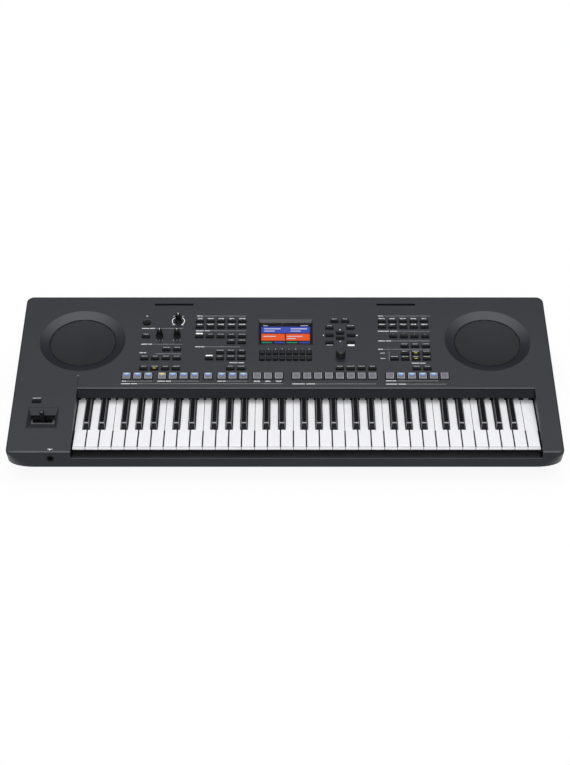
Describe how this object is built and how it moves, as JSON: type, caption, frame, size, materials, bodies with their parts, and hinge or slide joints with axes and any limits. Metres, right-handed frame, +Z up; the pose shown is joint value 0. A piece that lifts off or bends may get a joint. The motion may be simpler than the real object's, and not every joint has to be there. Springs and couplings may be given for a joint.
{
  "type": "arranger keyboard",
  "caption": "Electronic arranger keyboard with full-size keys, sloping control panel, colour display, knobs, pads, joystick and built-in speakers",
  "frame": {"origin": "on the ground at the middle of the case's width and depth", "axes": "+X towards the high keys, +Y towards the rear, +Z up"},
  "size_m": [1.004, 0.403, 0.1396],
  "materials": {
    "case_plastic": "fine texture",
    "strip_plastic": "gloss",
    "white_key_plastic": "gloss",
    "black_key_plastic": "satin",
    "button_plastic": "satin",
    "pad_plastic": "silver paint",
    "knob_plastic": "satin",
    "joystick_plastic": "satin",
    "grille_metal": "perforated sheet",
    "frame_metal": "black coat",
    "driver_metal": "black coat",
    "cone_paper": "pressed paper pulp",
    "felt": "felt",
    "circuit_board": "lacquer",
    "contact_rubber": "matt",
    "foot_rubber": "matt",
    "window_glass": "clear",
    "display": "screen",
    "pot_metal": "plain",
    "jack_plastic": "moulded",
    "socket_metal": "plated",
    "screw_steel": "black zinc"
  },
  "bodies": {
    "case": {"upper_case": "case_plastic", "lower_case": "case_plastic", "key_frame": "frame_metal", "key_felts": "felt", "key_contact_board": "circuit_board", "contact_rubbers": "contact_rubber", "fallboard_strip": "strip_plastic", "panel_boards": "circuit_board", "knob_pots": "pot_metal", "joystick_housing": "joystick_plastic", "left_speaker_grille": "grille_metal", "right_speaker_grille": "grille_metal", "left_speaker_driver": "driver_metal", "right_speaker_driver": "driver_metal", "speaker_cones": "cone_paper", "display_window": "window_glass", "display_module": "display", "rear_jacks": "jack_plastic", "headphone_jack": "jack_plastic", "rear_sockets": "socket_metal", "main_board": "circuit_board", "rubber_feet": "foot_rubber", "case_screws": "screw_steel"},
    "volume_knob": {"volume_knob": "knob_plastic"},
    "live_knob_1": {"live_knob_1": "knob_plastic"},
    "live_knob_2": {"live_knob_2": "knob_plastic"},
    "data_dial": {"data_dial": "knob_plastic"},
    "joystick_gimbal": {"joystick_gimbal": "joystick_plastic"},
    "joystick_stick": {"joystick_stick": "joystick_plastic"},
    "keys_c_e_g_b_1": {"keys_c_e_g_b_1": "white_key_plastic"},
    "keys_d_f_a_1": {"keys_d_f_a_1": "white_key_plastic"},
    "keys_black_1": {"keys_black_1": "black_key_plastic"},
    "keys_c_e_g_b_2": {"keys_c_e_g_b_2": "white_key_plastic"},
    "keys_d_f_a_2": {"keys_d_f_a_2": "white_key_plastic"},
    "keys_black_2": {"keys_black_2": "black_key_plastic"},
    "keys_c_e_g_b_3": {"keys_c_e_g_b_3": "white_key_plastic"},
    "keys_d_f_a_3": {"keys_d_f_a_3": "white_key_plastic"},
    "keys_black_3": {"keys_black_3": "black_key_plastic"},
    "keys_c_e_g_b_4": {"keys_c_e_g_b_4": "white_key_plastic"},
    "keys_d_f_a_4": {"keys_d_f_a_4": "white_key_plastic"},
    "keys_black_4": {"keys_black_4": "black_key_plastic"},
    "keys_c_e_g_b_5": {"keys_c_e_g_b_5": "white_key_plastic"},
    "keys_d_f_a_5": {"keys_d_f_a_5": "white_key_plastic"},
    "keys_black_5": {"keys_black_5": "black_key_plastic"},
    "left_buttons": {"left_buttons": "button_plastic"},
    "style_buttons": {"style_buttons": "button_plastic"},
    "song_buttons": {"song_buttons": "button_plastic"},
    "function_buttons": {"function_buttons": "button_plastic"},
    "cursor_buttons": {"cursor_buttons": "button_plastic"},
    "bank_buttons": {"bank_buttons": "button_plastic"},
    "voice_buttons": {"voice_buttons": "button_plastic"},
    "one_touch_buttons": {"one_touch_buttons": "button_plastic"},
    "effect_buttons": {"effect_buttons": "button_plastic"},
    "part_buttons": {"part_buttons": "button_plastic"},
    "display_buttons": {"display_buttons": "button_plastic"},
    "hold_button": {"hold_button": "button_plastic"},
    "style_pads": {"style_pads": "pad_plastic"},
    "registration_pads": {"registration_pads": "pad_plastic"},
    "multi_pads": {"multi_pads": "pad_plastic"},
    "standby_button": {"standby_button": "button_plastic"}
  },
  "joints": [
    {"name": "volume_knob_turn", "type": "hinge", "parent": "case", "child": "volume_knob", "pos_m": [-0.205, 0.13397, 0.12222], "axis": [0, -0.1613, 0.9869], "range_deg": [-150, 150]},
    {"name": "live_knob_1_turn", "type": "hinge", "parent": "case", "child": "live_knob_1", "pos_m": [-0.239, 0.09282, 0.11549], "axis": [0, -0.1613, 0.9869], "range_deg": [-150, 150]},
    {"name": "live_knob_2_turn", "type": "hinge", "parent": "case", "child": "live_knob_2", "pos_m": [-0.2058, 0.09282, 0.11549], "axis": [0, -0.1613, 0.9869], "range_deg": [-150, 150]},
    {"name": "data_dial_turn", "type": "hinge", "parent": "case", "child": "data_dial", "pos_m": [0.1052, 0.04081, 0.10699], "axis": [0, -0.1613, 0.9869], "continuous": true},
    {"name": "joystick_modulation", "type": "hinge", "parent": "case", "child": "joystick_gimbal", "pos_m": [-0.4428, -0.11489, 0.06027], "axis": [1, 0, 0], "range_deg": [-18, 18], "stiffness_Nm_per_rad": 0.25},
    {"name": "joystick_pitch_bend", "type": "hinge", "parent": "joystick_gimbal", "child": "joystick_stick", "pos_m": [-0.4428, -0.11489, 0.06027], "axis": [0, 0.9869, 0.1613], "range_deg": [-20, 20], "stiffness_Nm_per_rad": 0.25},
    {"name": "keys_c_e_g_b_1_press", "type": "hinge", "parent": "case", "child": "keys_c_e_g_b_1", "pos_m": [0, 0.01052, 0.054], "axis": [1, 0, 0], "range_deg": [0, 3], "stiffness_Nm_per_rad": 1.5, "springref_deg": -14.32},
    {"name": "keys_d_f_a_1_press", "type": "hinge", "parent": "case", "child": "keys_d_f_a_1", "pos_m": [0, 0.01052, 0.054], "axis": [1, 0, 0], "range_deg": [0, 3], "stiffness_Nm_per_rad": 1.5, "springref_deg": -14.32},
    {"name": "keys_black_1_press", "type": "hinge", "parent": "case", "child": "keys_black_1", "pos_m": [0, 0.01052, 0.054], "axis": [1, 0, 0], "range_deg": [0, 3.6], "stiffness_Nm_per_rad": 1.5, "springref_deg": -14.32},
    {"name": "keys_c_e_g_b_2_press", "type": "hinge", "parent": "case", "child": "keys_c_e_g_b_2", "pos_m": [0, 0.01052, 0.054], "axis": [1, 0, 0], "range_deg": [0, 3], "stiffness_Nm_per_rad": 1.5, "springref_deg": -14.32},
    {"name": "keys_d_f_a_2_press", "type": "hinge", "parent": "case", "child": "keys_d_f_a_2", "pos_m": [0, 0.01052, 0.054], "axis": [1, 0, 0], "range_deg": [0, 3], "stiffness_Nm_per_rad": 1.5, "springref_deg": -14.32},
    {"name": "keys_black_2_press", "type": "hinge", "parent": "case", "child": "keys_black_2", "pos_m": [0, 0.01052, 0.054], "axis": [1, 0, 0], "range_deg": [0, 3.6], "stiffness_Nm_per_rad": 1.5, "springref_deg": -14.32},
    {"name": "keys_c_e_g_b_3_press", "type": "hinge", "parent": "case", "child": "keys_c_e_g_b_3", "pos_m": [0, 0.01052, 0.054], "axis": [1, 0, 0], "range_deg": [0, 3], "stiffness_Nm_per_rad": 1.5, "springref_deg": -14.32},
    {"name": "keys_d_f_a_3_press", "type": "hinge", "parent": "case", "child": "keys_d_f_a_3", "pos_m": [0, 0.01052, 0.054], "axis": [1, 0, 0], "range_deg": [0, 3], "stiffness_Nm_per_rad": 1.5, "springref_deg": -14.32},
    {"name": "keys_black_3_press", "type": "hinge", "parent": "case", "child": "keys_black_3", "pos_m": [0, 0.01052, 0.054], "axis": [1, 0, 0], "range_deg": [0, 3.6], "stiffness_Nm_per_rad": 1.5, "springref_deg": -14.32},
    {"name": "keys_c_e_g_b_4_press", "type": "hinge", "parent": "case", "child": "keys_c_e_g_b_4", "pos_m": [0, 0.01052, 0.054], "axis": [1, 0, 0], "range_deg": [0, 3], "stiffness_Nm_per_rad": 1.5, "springref_deg": -14.32},
    {"name": "keys_d_f_a_4_press", "type": "hinge", "parent": "case", "child": "keys_d_f_a_4", "pos_m": [0, 0.01052, 0.054], "axis": [1, 0, 0], "range_deg": [0, 3], "stiffness_Nm_per_rad": 1.5, "springref_deg": -14.32},
    {"name": "keys_black_4_press", "type": "hinge", "parent": "case", "child": "keys_black_4", "pos_m": [0, 0.01052, 0.054], "axis": [1, 0, 0], "range_deg": [0, 3.6], "stiffness_Nm_per_rad": 1.5, "springref_deg": -14.32},
    {"name": "keys_c_e_g_b_5_press", "type": "hinge", "parent": "case", "child": "keys_c_e_g_b_5", "pos_m": [0, 0.01052, 0.054], "axis": [1, 0, 0], "range_deg": [0, 3], "stiffness_Nm_per_rad": 1.5, "springref_deg": -14.32},
    {"name": "keys_d_f_a_5_press", "type": "hinge", "parent": "case", "child": "keys_d_f_a_5", "pos_m": [0, 0.01052, 0.054], "axis": [1, 0, 0], "range_deg": [0, 3], "stiffness_Nm_per_rad": 1.5, "springref_deg": -14.32},
    {"name": "keys_black_5_press", "type": "hinge", "parent": "case", "child": "keys_black_5", "pos_m": [0, 0.01052, 0.054], "axis": [1, 0, 0], "range_deg": [0, 3.6], "stiffness_Nm_per_rad": 1.5, "springref_deg": -14.32},
    {"name": "left_buttons_press", "type": "slide", "parent": "case", "child": "left_buttons", "axis": [0, 0.1613, -0.9869], "range_m": [0, 0.0008], "stiffness_N_per_m": 800, "springref_m": -0.002},
    {"name": "style_buttons_press", "type": "slide", "parent": "case", "child": "style_buttons", "axis": [0, 0.1613, -0.9869], "range_m": [0, 0.0008], "stiffness_N_per_m": 800, "springref_m": -0.002},
    {"name": "song_buttons_press", "type": "slide", "parent": "case", "child": "song_buttons", "axis": [0, 0.1613, -0.9869], "range_m": [0, 0.0008], "stiffness_N_per_m": 800, "springref_m": -0.002},
    {"name": "function_buttons_press", "type": "slide", "parent": "case", "child": "function_buttons", "axis": [0, 0.1613, -0.9869], "range_m": [0, 0.0008], "stiffness_N_per_m": 800, "springref_m": -0.002},
    {"name": "cursor_buttons_press", "type": "slide", "parent": "case", "child": "cursor_buttons", "axis": [0, 0.1613, -0.9869], "range_m": [0, 0.0008], "stiffness_N_per_m": 800, "springref_m": -0.002},
    {"name": "bank_buttons_press", "type": "slide", "parent": "case", "child": "bank_buttons", "axis": [0, 0.1613, -0.9869], "range_m": [0, 0.0008], "stiffness_N_per_m": 800, "springref_m": -0.002},
    {"name": "voice_buttons_press", "type": "slide", "parent": "case", "child": "voice_buttons", "axis": [0, 0.1613, -0.9869], "range_m": [0, 0.0008], "stiffness_N_per_m": 800, "springref_m": -0.002},
    {"name": "one_touch_buttons_press", "type": "slide", "parent": "case", "child": "one_touch_buttons", "axis": [0, 0.1613, -0.9869], "range_m": [0, 0.0008], "stiffness_N_per_m": 800, "springref_m": -0.002},
    {"name": "effect_buttons_press", "type": "slide", "parent": "case", "child": "effect_buttons", "axis": [0, 0.1613, -0.9869], "range_m": [0, 0.0008], "stiffness_N_per_m": 800, "springref_m": -0.002},
    {"name": "part_buttons_press", "type": "slide", "parent": "case", "child": "part_buttons", "axis": [0, 0.1613, -0.9869], "range_m": [0, 0.0008], "stiffness_N_per_m": 800, "springref_m": -0.002},
    {"name": "display_buttons_press", "type": "slide", "parent": "case", "child": "display_buttons", "axis": [0, 0.1613, -0.9869], "range_m": [0, 0.0008], "stiffness_N_per_m": 800, "springref_m": -0.002},
    {"name": "hold_button_press", "type": "slide", "parent": "case", "child": "hold_button", "axis": [0, 0.1613, -0.9869], "range_m": [0, 0.0008], "stiffness_N_per_m": 800, "springref_m": -0.002},
    {"name": "style_pads_press", "type": "slide", "parent": "case", "child": "style_pads", "axis": [0, 0.1613, -0.9869], "range_m": [0, 0.0008], "stiffness_N_per_m": 800, "springref_m": -0.002},
    {"name": "registration_pads_press", "type": "slide", "parent": "case", "child": "registration_pads", "axis": [0, 0.1613, -0.9869], "range_m": [0, 0.0008], "stiffness_N_per_m": 800, "springref_m": -0.002},
    {"name": "multi_pads_press", "type": "slide", "parent": "case", "child": "multi_pads", "axis": [0, 0.1613, -0.9869], "range_m": [0, 0.0008], "stiffness_N_per_m": 800, "springref_m": -0.002},
    {"name": "standby_button_press", "type": "slide", "parent": "case", "child": "standby_button", "axis": [0, 0.1613, -0.9869], "range_m": [0, 0.0008], "stiffness_N_per_m": 800, "springref_m": -0.002}
  ]
}
